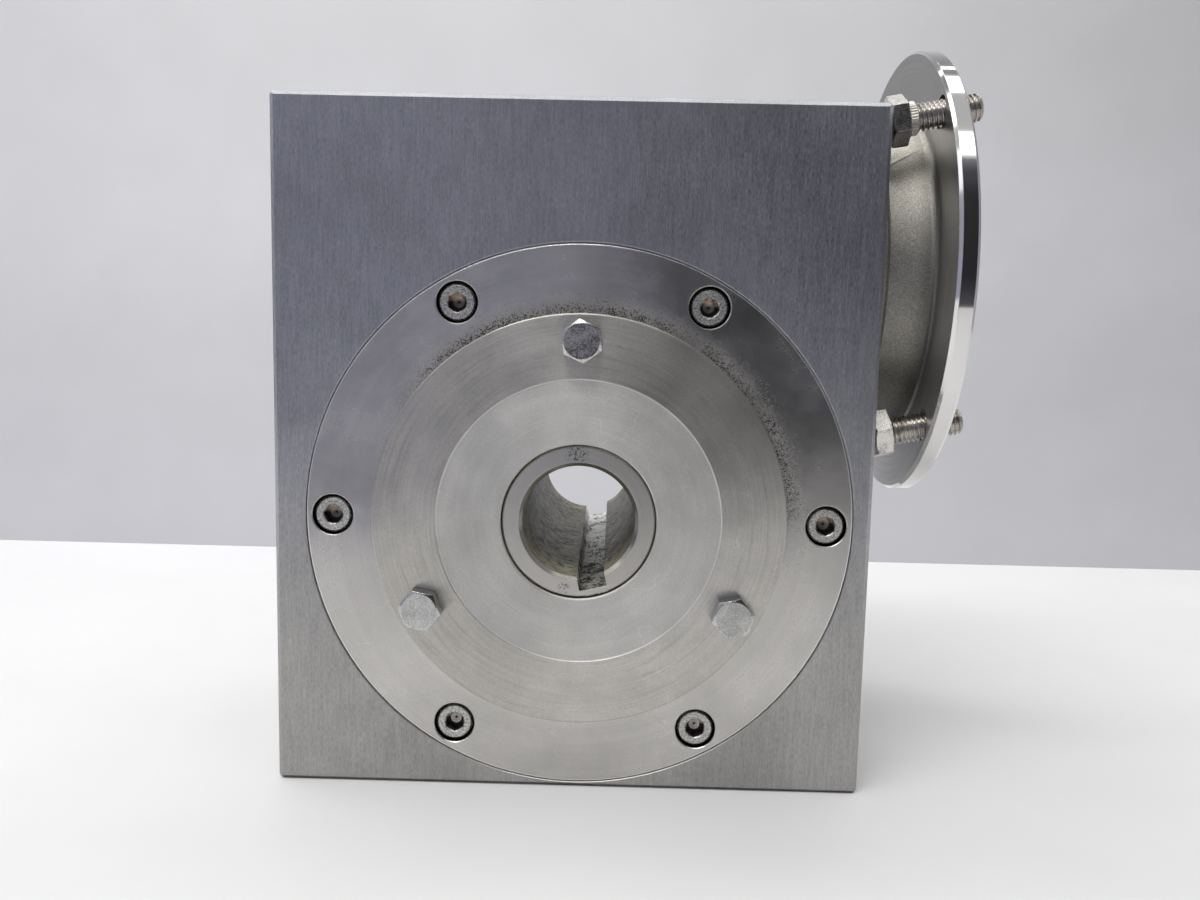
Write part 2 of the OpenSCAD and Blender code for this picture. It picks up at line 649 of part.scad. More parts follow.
// Distance of each motor bolt head's seat behind the flange, and each head's turn
motor_bolt_seat = [12.1, 12.3, 12.4, 11.8];
motor_bolt_turn = [22, 40, 15, 1];

module motor_bolts() {
  color([0.66, 0.65, 0.62]) on_worm_axis() for (i = [0 : 3])
    rotate([0, 0, 45 + 90 * i]) translate([motor_circle_r, 0, flange_x - motor_bolt_seat[i]]) {
      rotate([180, 0, motor_bolt_turn[i]]) hex_head(motor_bolt_flats, motor_bolt_head);
      translate([0, 0, -1]) cylinder(r = motor_bolt_r, h = motor_bolt_length + 0.3);
      translate([0, 0, motor_bolt_length - 0.7])
        cylinder(r1 = motor_bolt_r, r2 = motor_bolt_r - 0.7, h = 0.7);
    }
}

module motor_bolt_collars() {
  color([0.72, 0.7, 0.64]) on_worm_axis() for (i = [1, 2])
    rotate([0, 0, 45 + 90 * i]) translate([motor_circle_r, 0, flange_x - motor_bolt_seat[i] + 0.05])
      difference() {
        cylinder(r = 5.7, h = 3);
        translate([0, 0, -1]) cylinder(r = motor_bolt_r + 0.05, h = 5);
      }
}

housing();
front_cover();
rear_cover();
front_cover_screws();
rear_cover_screws();
front_boss_bolts();
front_cover_seal();
rear_cover_seal();
output_shaft();
wheel_key();
wheel_hub();
worm_wheel();
wheel_spacer();
output_circlips();
front_bearing_outer();
front_bearing_inner();
front_bearing_balls();
front_bearing_cage();
rear_bearing_outer();
rear_bearing_inner();
rear_bearing_balls();
rear_bearing_cage();
front_shaft_seal();
rear_shaft_seal();
worm_shaft();
input_bearing_outer();
input_bearing_inner();
input_bearing_balls();
input_bearing_cage();
tail_bearing_outer();
tail_bearing_inner();
tail_bearing_balls();
tail_bearing_cage();
input_seal();
worm_bearing_rings();
worm_circlip();
tail_cap();
tail_cap_screws();
tail_cap_seal();
motor_adapter();
adapter_screws();
adapter_gasket();
motor_bolts();
motor_bolt_collars();
oil_plugs();
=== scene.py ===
"""Looks of the worm gearbox: materials, threaded motor bolts, stage, light and camera."""

import math

import bpy
from mathutils import Matrix, Vector


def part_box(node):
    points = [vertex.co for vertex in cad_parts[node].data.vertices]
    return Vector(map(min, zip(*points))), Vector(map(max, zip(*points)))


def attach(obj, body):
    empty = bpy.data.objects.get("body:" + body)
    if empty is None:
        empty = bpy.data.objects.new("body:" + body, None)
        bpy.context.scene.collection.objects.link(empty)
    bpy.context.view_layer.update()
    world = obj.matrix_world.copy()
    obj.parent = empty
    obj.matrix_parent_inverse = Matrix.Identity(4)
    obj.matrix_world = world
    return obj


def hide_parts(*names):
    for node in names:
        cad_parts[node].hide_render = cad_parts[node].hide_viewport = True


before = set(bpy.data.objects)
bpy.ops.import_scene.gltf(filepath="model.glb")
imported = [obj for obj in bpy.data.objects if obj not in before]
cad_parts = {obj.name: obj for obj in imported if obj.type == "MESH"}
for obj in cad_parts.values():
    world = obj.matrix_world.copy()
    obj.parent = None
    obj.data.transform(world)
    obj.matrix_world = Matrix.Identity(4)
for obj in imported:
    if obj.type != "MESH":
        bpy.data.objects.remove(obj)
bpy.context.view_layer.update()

MM = 0.001

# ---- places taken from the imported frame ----

block_low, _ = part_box("housing")
cover_low, cover_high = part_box("front_cover")
_, shaft_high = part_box("output_shaft")
adapter_low, adapter_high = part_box("motor_adapter")
screws_low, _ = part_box("front_cover_screws")
boss_bolts_low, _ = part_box("front_boss_bolts")

COVER_R = (cover_high.x - cover_low.x) / 2
FRONT_Y = block_low.y
FLANGE_R = (adapter_high.z - adapter_low.z) / 2
WORM_Z = (adapter_high.z + adapter_low.z) / 2
FLANGE_FRONT = adapter_high.x
FLANGE_THICKNESS = 6.8 * MM
FLANGE_BACK = FLANGE_FRONT - FLANGE_THICKNESS
BASE_Z = block_low.z
SHAFT_END = shaft_high.y
BOLT_FACE_Y = boss_bolts_low.y

# ---- sizes of the CAD pieces that the materials follow ----

BOSS_R = 70 * MM
DISC_R = 48.3 * MM
SCREW_CIRCLE = 84 * MM
COUNTERBORE_R = 7 * MM
BOSS_BOLT_CIRCLE = 61 * MM
BORE_MOUTH_R = 20.3 * MM
BORE_CHAMFER = 1.3 * MM
KEY_ANGLE = math.radians(-76.5)
KEY_HALF_WIDTH = 4.85 * MM


# ---- a small builder for procedural materials ----

class Look:
    """One node material. Sockets go in as numbers, colours, vectors or other sockets."""

    def __init__(self, name, colour=(0.6, 0.6, 0.6), metallic=1.0, roughness=0.35):
        self.material = bpy.data.materials.new(name)
        self.material.use_nodes = True
        self.tree = self.material.node_tree
        self.tree.nodes.clear()
        output = self.tree.nodes.new("ShaderNodeOutputMaterial")
        self.shader = self.tree.nodes.new("ShaderNodeBsdfPrincipled")
        self.tree.links.new(self.shader.outputs["BSDF"], output.inputs["Surface"])
        self.set("Base Color", colour)
        self.set("Metallic", metallic)
        self.set("Roughness", roughness)
        self.place = self.node("ShaderNodeTexCoord").outputs["Object"]

    def feed(self, socket, value):
        """Puts a number, tuple or socket into an input socket."""
        if isinstance(value, bpy.types.NodeSocket):
            self.tree.links.new(value, socket)
        elif isinstance(value, (tuple, list)) and len(value) == 3 and socket.type == "RGBA":
            socket.default_value = (*value, 1.0)
        else:
            socket.default_value = value

    def set(self, name, value):
        self.feed(self.shader.inputs[name], value)

    def node(self, kind, inputs=(), **settings):
        made = self.tree.nodes.new(kind)
        for key, value in settings.items():
            setattr(made, key, value)
        for key, value in dict(inputs).items():
            self.feed(made.inputs[key], value)
        return made

    def math(self, operation, a, b=0.0, c=0.0, clamp=False):
        return self.node("ShaderNodeMath", {0: a, 1: b, 2: c}, operation=operation,
                         use_clamp=clamp).outputs[0]

    def vector_math(self, operation, a, b=(0, 0, 0)):
        return self.node("ShaderNodeVectorMath", {0: a, 1: b}, operation=operation).outputs[0]

    def split(self, vector):
        parts = self.node("ShaderNodeSeparateXYZ", {0: vector})
        return parts.outputs[0], parts.outputs[1], parts.outputs[2]

    def join(self, x=0.0, y=0.0, z=0.0):
        return self.node("ShaderNodeCombineXYZ", {0: x, 1: y, 2: z}).outputs[0]

    def moved(self, centre):
        return self.vector_math("SUBTRACT", self.place, tuple(centre))

    def noise(self, scale=(1, 1, 1), detail=2.0, roughness=0.5, vector=None, offset=(0, 0, 0)):
        """Noise whose cells are 1/scale metres across, as a value near 0.5."""
        source = vector if vector is not None else self.place
        scaled = self.vector_math("MULTIPLY", source, tuple(scale))
        shifted = self.vector_math("ADD", scaled, tuple(offset))
        return self.node("ShaderNodeTexNoise", {"Vector": shifted, "Scale": 1.0, "Detail": detail,
                         "Roughness": roughness}).outputs["Fac"]

    def ramp(self, value, low, high, out_low=0.0, out_high=1.0, smooth=True):
        return self.node("ShaderNodeMapRange", {"Value": value, "From Min": low, "From Max": high,
                         "To Min": out_low, "To Max": out_high},
                         interpolation_type="SMOOTHSTEP" if smooth else "LINEAR").outputs[0]

    def mix(self, factor, a, b):
        made = self.node("ShaderNodeMix", data_type="RGBA")
        for socket, value in ((made.inputs[0], factor), (made.inputs[6], a), (made.inputs[7], b)):
            self.feed(socket, value)
        return made.outputs[2]

    def mix_value(self, factor, a, b):
        made = self.node("ShaderNodeMix", data_type="FLOAT")
        for socket, value in ((made.inputs[0], factor), (made.inputs[2], a), (made.inputs[3], b)):
            self.feed(socket, value)
        return made.outputs[0]

    def scaled_colour(self, colour, factor):
        """A colour multiplied by a value socket."""
        made = self.node("ShaderNodeVectorMath", {0: colour, "Scale": factor}, operation="SCALE")
        return made.outputs[0]

    def bump(self, height, distance, strength=1.0, normal=None):
        inputs = {"Height": height, "Distance": distance, "Strength": strength}
        if normal is not None:
            inputs["Normal"] = normal
        return self.node("ShaderNodeBump", inputs).outputs[0]

    def rounded_edges(self, radius):
        return self.node("ShaderNodeBevel", {"Radius": radius}, samples=4).outputs[0]

    def around_y(self, centre=(0, 0, 0)):
        """Radius and angle around an axis along Y."""
        x, _, z = self.split(self.moved(centre))
        radius = self.math("SQRT", self.math("ADD", self.math("MULTIPLY", x, x),
                                             self.math("MULTIPLY", z, z)))
        return radius, self.math("ARCTAN2", z, x)

    def around_x(self, centre):
        """Radius and angle around an axis along X."""
        _, y, z = self.split(self.moved(centre))
        radius = self.math("SQRT", self.math("ADD", self.math("MULTIPLY", y, y),
                                             self.math("MULTIPLY", z, z)))
        return radius, self.math("ARCTAN2", z, y)

    def radial_tangent(self, centre, keep):
        """Unit vector away from an axis; keep masks out the axis component."""
        flat = self.vector_math("MULTIPLY", self.moved(centre), keep)
        world = self.node("ShaderNodeVectorTransform", {0: flat}, vector_type="VECTOR",
                          convert_from="OBJECT", convert_to="WORLD").outputs[0]
        return self.vector_math("NORMALIZE", world)


def dress(names, look):
    """Gives CAD nodes a material."""
    for name in names:
        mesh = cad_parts[name].data
        mesh.materials.clear()
        mesh.materials.append(look.material)


# ---- materials ----

def brushed_block():
    """Machined block with a vertical brushed grain, warmer and darker towards the base: painted reflection
    and shade.
    """
    look = Look("brushed_block")
    fine = look.noise((3300, 3300, 520), detail=3, roughness=0.8)
    coarse = look.noise((1300, 1300, 110), detail=2, offset=(7, 3, 1))
    cloud = look.noise((34, 34, 26), detail=4, roughness=0.65, offset=(2, 9, 4))
    streaks = look.math("ADD", look.math("MULTIPLY", fine, 0.75),
                        look.math("MULTIPLY", coarse, 0.25))
    shade = look.ramp(streaks, 0.32, 0.68, 0.66, 1.30, smooth=False)
    shade = look.math("MULTIPLY", shade, look.ramp(cloud, 0.3, 0.7, 0.90, 1.08))
    _, _, z = look.split(look.place)
    # painted shade: darker towards the base, standing in for the room's reflection
    shade = look.math("MULTIPLY", shade, look.ramp(z, BASE_Z, BASE_Z + 90 * MM, 0.88, 1.0))
    # painted reflection: warm tint low and cool blue-grey tint high, standing in for what the sides
    # reflect
    warm_painted_reflection, cool_painted_reflection = (0.46, 0.452, 0.436), (0.435, 0.442, 0.468)
    tint = look.mix(look.ramp(z, -60 * MM, 60 * MM), warm_painted_reflection, cool_painted_reflection)
    look.set("Base Color", look.scaled_colour(tint, shade))
    look.set("Roughness", look.ramp(streaks, 0.3, 0.7, 0.36, 0.50, smooth=False))
    look.set("Anisotropic", 0.5)
    normal = look.node("ShaderNodeNewGeometry").outputs["Normal"]
    across = look.vector_math("CROSS_PRODUCT", normal, (0, 0, 1))
    never_zero = look.vector_math("ADD", across, (1e-4, 0, 0))
    look.set("Tangent", look.vector_math("NORMALIZE", never_zero))
    look.set("Normal", look.bump(streaks, 0.02 * MM, 0.5, look.rounded_edges(0.35 * MM)))
    return look


def turned_cover(name):
    """Round cover: ground rim, coarse turned zone on the boss, finely faced centre disc."""
    look = Look(name)
    radius, angle = look.around_y()
    rings = look.join(look.math("MULTIPLY", radius, 2300), look.math("MULTIPLY", angle, 1.2), 0.0)
    grooves = look.noise((1, 1, 1), detail=3, roughness=0.65, vector=rings)
    broad = look.join(look.math("MULTIPLY", radius, 260), look.math("MULTIPLY", angle, 0.8), 3.0)
    bands = look.noise((1, 1, 1), detail=2, vector=broad)
    cloud = look.noise((48, 48, 48), detail=5, roughness=0.6)
    on_boss = look.ramp(radius, BOSS_R - 0.4 * MM, BOSS_R + 0.2 * MM, 1.0, 0.0)
    on_centre = look.ramp(radius, DISC_R - 0.2 * MM, DISC_R + 0.2 * MM, 1.0, 0.0)
    zone = look.math("SUBTRACT", on_boss, on_centre, clamp=True)

    speckle = look.noise((2100, 2100, 2100), detail=3, roughness=0.8)
    marks = look.join(look.math("MULTIPLY", radius, 620), look.math("MULTIPLY", angle, 1.5), 8.0)
    marks = look.noise((1, 1, 1), detail=4, roughness=0.7, vector=marks)
    patches = look.noise((26, 26, 26), detail=3, roughness=0.6, offset=(5, 1, 8))
    marked = look.math("MULTIPLY", zone, look.ramp(patches, 0.38, 0.58))
    shade = look.ramp(grooves, 0.3, 0.7, look.mix_value(zone, 0.955, 0.90),
                      look.mix_value(zone, 1.03, 1.07), smooth=False)
    shade = look.math("MULTIPLY", shade, look.ramp(bands, 0.3, 0.7, 0.97, 1.03))
    shade = look.math("MULTIPLY", shade, look.ramp(cloud, 0.3, 0.7, 0.90, 1.08))
    hair = look.noise((55, 55, 55), detail=2, roughness=0.4, offset=(1, 6, 2))
    hair = look.math("ABSOLUTE", look.math("SUBTRACT", hair, 0.5))
    hair = look.math("MULTIPLY", look.ramp(hair, 0.0, 0.0035, 1.0, 0.0),
                     look.ramp(patches, 0.5, 0.6))
    shade = look.math("MULTIPLY", shade, look.math("ADD", look.math("MULTIPLY", hair, 0.14), 1.0))
    shade = look.math("MULTIPLY", shade, look.ramp(speckle, 0.3, 0.7, 0.88, 1.12, smooth=False))
    streak = look.math("MULTIPLY", marked, look.ramp(marks, 0.52, 0.62))
    kept = look.math("SUBTRACT", 1.0, look.math("MULTIPLY", streak, 0.13))
    shade = look.math("MULTIPLY", shade, kept)
    x, y, height = look.split(look.place)
    # upper half of the turned zone darker: partly real staining, partly painted shade for the dark room it
    # reflects
    upper_zone_stain_and_shade = look.math("MULTIPLY", zone, look.ramp(height, -5 * MM, 45 * MM))
    kept = look.math("SUBTRACT", 1.0, look.math("MULTIPLY", upper_zone_stain_and_shade, 0.2))
    shade = look.math("MULTIPLY", shade, kept)
    tint = look.mix(zone, (0.545, 0.53, 0.505), (0.61, 0.59, 0.54))
    tint = look.mix(on_centre, tint, (0.64, 0.63, 0.60))
    clean = look.scaled_colour(tint, shade)
    # painted highlight: thin pale lines along the rim's edge and the edge of the centre disc
    from_rim = look.math("ABSOLUTE", look.math("SUBTRACT", radius, COVER_R - 0.25 * MM))
    from_disc = look.math("ABSOLUTE", look.math("SUBTRACT", radius, DISC_R - 0.15 * MM))
    painted_edge_highlight = look.math("MAXIMUM", look.ramp(from_rim, 0.2 * MM, 0.45 * MM, 1.0, 0.0),
                            look.ramp(from_disc, 0.1 * MM, 0.3 * MM, 0.7, 0.0))
    clean = look.mix(painted_edge_highlight, clean, (0.93, 0.92, 0.90))
    rough = look.mix_value(zone, 0.24, 0.34)
    rough = look.mix_value(on_centre, rough, 0.60)
    rough = look.math("ADD", rough, look.ramp(cloud, 0.25, 0.75, -0.03, 0.05))
    aniso = look.mix_value(zone, 0.2, 0.85)
    look.set("Anisotropic", look.mix_value(on_centre, aniso, 0.45))
    look.set("Tangent", look.radial_tangent((0, 0, 0), (1, 0, 1)))

    line = look.math("ABSOLUTE", look.math("SUBTRACT", radius, DISC_R))
    groove_line = look.ramp(line, 0.0, 0.28 * MM, -1.0, 0.0)
    depth = look.math("MULTIPLY", grooves, look.mix_value(zone, 0.25, 1.6))
    depth = look.math("ADD", depth, look.math("MULTIPLY", bands, look.mix_value(zone, 0.1, 1.5)))
    depth = look.math("ADD", depth, look.math("MULTIPLY", groove_line, 3.0))
    bumped = look.bump(depth, 0.02 * MM, 0.6, look.rounded_edges(0.4 * MM))

    # dirt caught just outside the boss, thickest above it and to the upper right
    specks = look.noise((1900, 1900, 1900), detail=3, roughness=0.75)
    upper = look.ramp(look.math("ADD", height, look.math("MULTIPLY", x, 0.35)), 8 * MM, 48 * MM)
    dirt_edge = look.ramp(angle, 0.3, 1.6, BOSS_R + 14 * MM, BOSS_R + 7 * MM)
    reach = look.ramp(radius, BOSS_R + 0.4 * MM, dirt_edge, 0.49, 0.70)
    near = look.math("MULTIPLY", look.ramp(radius, BOSS_R - 0.1 * MM, BOSS_R + 0.2 * MM), upper)
    near = look.math("MULTIPLY", near, look.ramp(look.noise((60, 60, 60), offset=(3, 3, 3)), 0.3, 0.55,
                                                 0.35, 1.0))
    dirt = look.math("MULTIPLY", near, look.ramp(look.math("SUBTRACT", specks, reach), 0.0, 0.04))
    thinning = look.ramp(radius, BOSS_R, BOSS_R + 8 * MM, 1.0, 0.0)
    film = look.math("MULTIPLY", look.math("MULTIPLY", near, thinning), 0.34)
    soiled = look.math("ADD", dirt, film, clamp=True)
    light_speck = look.noise((1100, 1100, 1100), detail=2, offset=(4, 4, 4))
    light_speck = look.ramp(light_speck, 0.54, 0.6)
    soil = look.mix(light_speck, (0.03, 0.027, 0.021), (0.27, 0.255, 0.21))
    colour = look.mix(soiled, clean, soil)
    # painted shade: the counterbore walls round the screw heads nearly black
    from_screw, _ = folded(look, 6, SCREW_CIRCLE)
    depth_in = look.math("SUBTRACT", abs(FRONT_Y) + 0.15 * MM, look.math("ABSOLUTE", y))
    painted_counterbore_shade = look.math("MULTIPLY", look.ramp(depth_in, 0.0, 0.6 * MM),
                     look.ramp(from_screw, COUNTERBORE_R - 0.03 * MM, COUNTERBORE_R, 1.0, 0.0))
    look.set("Base Color", look.mix(painted_counterbore_shade, colour, (0.035, 0.033, 0.03)))
    look.set("Roughness", look.mix_value(soiled, rough, 0.75))
    look.set("Metallic", look.mix_value(soiled, 1.0, 0.2))
    look.set("Normal", bumped)
    return look


def folded(look, count, circle_r, start=0.0):
    """Distance from the nearest of count points round the output axis, and height above it."""
    _, angle = look.around_y()
    step = 2 * math.pi / count
    turned = look.math("SUBTRACT", angle, start)
    near = look.math("MULTIPLY", look.math("ROUND", look.math("DIVIDE", turned, step)), step)
    near = look.math("ADD", near, start)
    x, _, z = look.split(look.place)
    across = look.math("SUBTRACT", x, look.math("MULTIPLY", look.math("COSINE", near), circle_r))
    above = look.math("SUBTRACT", z, look.math("MULTIPLY", look.math("SINE", near), circle_r))
    far = look.math("SQRT", look.math("ADD", look.math("MULTIPLY", across, across),
                                      look.math("MULTIPLY", above, above)))
    return far, above


def socket_screws(name, top_y):
    """Socket screw: bright scuffed head, brown rusty socket with painted light above and painted shade
    below. top_y is the head's face.
    """
    look = Look(name)
    _, y, z = look.split(look.place)
    depth = look.math("SUBTRACT", abs(top_y), look.math("ABSOLUTE", y))
    from_axis, above = folded(look, 6, SCREW_CIRCLE)
    core = look.ramp(from_axis, 3.6 * MM, 4.2 * MM, 1.0, 0.0)
    inside = look.math("MULTIPLY", look.ramp(depth, 0.25 * MM, 0.5 * MM), core)
    # painted shade: the head sides nearly black once deeper than 1.6 mm in the counterbore
    outside = look.math("MULTIPLY", look.ramp(depth, 0.7 * MM, 1.6 * MM),
                        look.math("SUBTRACT", 1.0, core))
    # painted reflection: a near-white disc at the socket's bottom, strongest on the lower screws
    painted_bottom_reflection = look.math("MULTIPLY", look.ramp(depth, 3.95 * MM, 4.05 * MM),
                       look.ramp(from_axis, 1.8 * MM, 1.95 * MM, 1.0, 0.0))
    painted_bottom_reflection = look.math("MULTIPLY", painted_bottom_reflection, look.ramp(z, -40 * MM, -10 * MM, 1.0, 0.25))
    painted_bottom_reflection = look.math("MULTIPLY", painted_bottom_reflection, look.ramp(from_axis, 0.35 * MM, 0.6 * MM))
    scuff = look.noise((1500, 1500, 1500), detail=4, roughness=0.8)
    rust = look.noise((700, 700, 700), detail=3, roughness=0.6)
    head = look.scaled_colour((0.56, 0.555, 0.53), look.ramp(scuff, 0.36, 0.64, 0.42, 1.35))
    # painted light: the socket's upper half pale brown with rust; painted shade: its lower half near black
    lit = look.math("MULTIPLY", look.ramp(above, -0.2 * MM, 1.6 * MM),
                    look.ramp(rust, 0.36, 0.56, 0.25, 1.0))
    stain_and_painted_light = look.mix(lit, (0.02, 0.015, 0.012), (0.78, 0.64, 0.48))
    stain_and_painted_light = look.mix(painted_bottom_reflection, stain_and_painted_light, (1.0, 0.98, 0.93))
    colour = look.mix(inside, head, stain_and_painted_light)
    look.set("Base Color", look.mix(outside, colour, (0.03, 0.03, 0.03)))
    look.set("Metallic", look.mix_value(inside, 1.0, 0.3))
    look.set("Roughness", look.mix_value(inside, look.ramp(scuff, 0.3, 0.7, 0.24, 0.48), 0.40))
    look.set("Normal", look.bump(scuff, 0.12 * MM, 0.7, look.rounded_edges(0.3 * MM)))
    return look


def boss_bolts():
    """Plated hex bolts: finely speckled faces, bright chamfers, the top bolt's face darker."""
    look = Look("boss_bolts")
    _, y, z = look.split(look.place)
    from_axis, _ = folded(look, 3, BOSS_BOLT_CIRCLE, math.pi / 2)
    face = look.math("MULTIPLY", look.ramp(from_axis, 5.75 * MM, 5.95 * MM, 1.0, 0.0),
                     look.ramp(y, BOLT_FACE_Y + 0.35 * MM, BOLT_FACE_Y + 0.6 * MM, 1.0, 0.0))
    speck = look.noise((1700, 1700, 1700), detail=3, roughness=0.8)
    blotch = look.noise((230, 230, 230), detail=3, roughness=0.6)
    grain = look.math("ADD", look.math("MULTIPLY", speck, 0.65),
                      look.math("MULTIPLY", blotch, 0.35))
    # the top bolt's face darker than the lower two
    top_one = look.ramp(z, 10 * MM, 20 * MM)
    plated = look.scaled_colour((0.60, 0.60, 0.58), look.ramp(grain, 0.40, 0.60, 0.70, 1.15))
    top_face_dark = look.scaled_colour((0.28, 0.27, 0.275), look.ramp(grain, 0.38, 0.62, 0.4, 1.8))
    colour = look.mix(look.math("MULTIPLY", face, top_one), plated, top_face_dark)
    look.set("Base Color", colour)
    look.set("Roughness", look.mix_value(face, 0.20, look.ramp(grain, 0.35, 0.65, 0.34, 0.48)))
    look.set("Normal", look.bump(grain, 0.03 * MM, 0.5, look.rounded_edges(0.2 * MM)))
    return look


def mottled_bolts(name, colour, dark):
    """Hex bolt with a mottled, slightly tarnished plating."""
    look = Look(name)
    blotch = look.noise((260, 260, 260), detail=3, roughness=0.6)
    speck = look.noise((1700, 1700, 1700), detail=3, roughness=0.7)
    factor = look.math("ADD", look.math("MULTIPLY", blotch, 0.6), look.math("MULTIPLY", speck, 0.4))
    look.set("Base Color", look.mix(look.ramp(factor, 0.36, 0.52), dark, colour))
    look.set("Roughness", look.ramp(factor, 0.35, 0.65, 0.38, 0.22))
    look.set("Normal", look.bump(factor, 0.05 * MM, 0.6, look.rounded_edges(0.3 * MM)))
    return look


def scuff_patch(look, x_mm, z_mm, reach_mm):
    """Soft mask round a point of the shaft's end face."""
    far, _ = look.around_y((x_mm * MM, 0, z_mm * MM))
    return look.ramp(far, 0.4 * reach_mm * MM, reach_mm * MM, 1.0, 0.0)


def hollow_shaft():
    """Turned end rings, smooth chamfer, dark tarnished bore with painted light near the ends, pitted
    keyway.
    """
    look = Look("hollow_shaft")
    radius, angle = look.around_y()
    x, y, z = look.split(look.place)
    turned = look.join(look.math("MULTIPLY", radius, 2600), look.math("MULTIPLY", angle, 1.0),
                       look.math("MULTIPLY", y, 2600))
    grooves = look.noise((1, 1, 1), detail=3, roughness=0.6, vector=turned)
    wall = look.join(look.math("MULTIPLY", angle, 3.0), look.math("MULTIPLY", y, 600), 0.0)
    streak = look.noise((1, 1, 1), detail=5, roughness=0.75, vector=wall)
    mottle = look.noise((520, 420, 520), detail=4, roughness=0.75)
    cloud = look.math("ADD", look.math("MULTIPLY", streak, 0.6),
                      look.math("MULTIPLY", mottle, 0.4))
    patches = look.noise((85, 60, 85), detail=3, roughness=0.6, offset=(2, 7, 4))
    worn = look.ramp(patches, 0.42, 0.6)
    rough_floor = look.noise((800, 420, 800), detail=5, roughness=0.8)
    clean_floor = look.noise((190, 120, 190), detail=3, offset=(6, 1, 3))
    clean_floor = look.ramp(clean_floor, 0.35, 0.65, -0.07, 0.07)
    end = look.math("ABSOLUTE", y)
    in_bore = look.ramp(radius, BORE_MOUTH_R - 0.05 * MM, BORE_MOUTH_R + 0.05 * MM, 1.0, 0.0)
    chamfer_start = SHAFT_END - BORE_CHAMFER
    on_chamfer = look.math("MULTIPLY", in_bore, look.ramp(end, chamfer_start - 0.05 * MM,
                                                          chamfer_start + 0.05 * MM))
    along = look.math("ADD", look.math("MULTIPLY", x, math.cos(KEY_ANGLE)),
                      look.math("MULTIPLY", z, math.sin(KEY_ANGLE)))
    across = look.math("SUBTRACT", look.math("MULTIPLY", x, math.sin(KEY_ANGLE)),
                       look.math("MULTIPLY", z, math.cos(KEY_ANGLE)))
    in_key = look.math("MULTIPLY", look.ramp(along, 18.3 * MM, 18.6 * MM),
                       look.ramp(look.math("ABSOLUTE", across), KEY_HALF_WIDTH,
                                 KEY_HALF_WIDTH + 0.05 * MM, 1.0, 0.0))
    in_key = look.math("MULTIPLY", in_key, look.ramp(end, SHAFT_END - 0.12 * MM,
                                                     SHAFT_END - 0.05 * MM, 1.0, 0.0))
    # painted light: the bore wall paler within 9 to 15 mm of either end
    painted_light_band = look.ramp(end, SHAFT_END - 15 * MM, SHAFT_END - 9 * MM)
    scuffs = look.noise((1500, 1500, 1500), detail=2, roughness=0.7)
    marked = look.math("MAXIMUM", scuff_patch(look, -1.0, 23.4, 5.0),
                       scuff_patch(look, -4.6, -23.0, 2.6))
    ring = look.scaled_colour((0.545, 0.528, 0.485), look.ramp(grooves, 0.3, 0.7, 0.93, 1.05))
    scuffed = look.math("MULTIPLY", marked, look.ramp(scuffs, 0.5, 0.6))
    ring = look.mix(scuffed, ring, (0.08, 0.08, 0.08))
    stain_and_painted_light = look.mix(look.ramp(cloud, 0.44, 0.57), (0.016, 0.013, 0.005), (0.42, 0.38, 0.22))
    stain_and_painted_light = look.mix(look.math("MULTIPLY", worn, 0.4), stain_and_painted_light, (0.46, 0.425, 0.28))
    stain_and_painted_light = look.mix(look.math("MULTIPLY", painted_light_band, 0.35), stain_and_painted_light, (0.30, 0.275, 0.20))
    pitted = look.math("ADD", rough_floor, clean_floor)
    keyed = look.mix(look.ramp(pitted, 0.40, 0.56), (0.045, 0.043, 0.030), (0.88, 0.87, 0.80))
    # painted light: the keyway floor up to 2.6 times brighter towards the shaft's middle, painted shade
    # near the front end
    keyed = look.scaled_colour(keyed, look.ramp(y, -45 * MM, 0, 1.0, 2.6))
    # painted shade: the bore's left and right walls darker
    painted_side_wall_shade = look.ramp(look.math("ABSOLUTE", z), 4 * MM, 15 * MM, 0.62, 1.0)
    stain_and_painted_light = look.scaled_colour(stain_and_painted_light, painted_side_wall_shade)
    stain_and_painted_light = look.mix(on_chamfer, stain_and_painted_light, (0.30, 0.29, 0.265))
    colour = look.mix(in_bore, ring, stain_and_painted_light)
    look.set("Base Color", look.mix(in_key, colour, keyed))
    rough = look.mix_value(in_bore, 0.30, look.ramp(cloud, 0.35, 0.65, 0.50, 0.32))
    rough = look.mix_value(on_chamfer, rough, 0.2)
    look.set("Roughness", look.mix_value(in_key, rough, 0.55))
    look.set("Metallic", look.mix_value(on_chamfer, look.mix_value(in_bore, 1.0, 0.25), 1.0))
    height = look.mix_value(in_key, grooves, look.math("MULTIPLY", rough_floor, 16.0))
    look.set("Normal", look.bump(height, 0.02 * MM, 0.7, look.rounded_edges(0.25 * MM)))
    return look


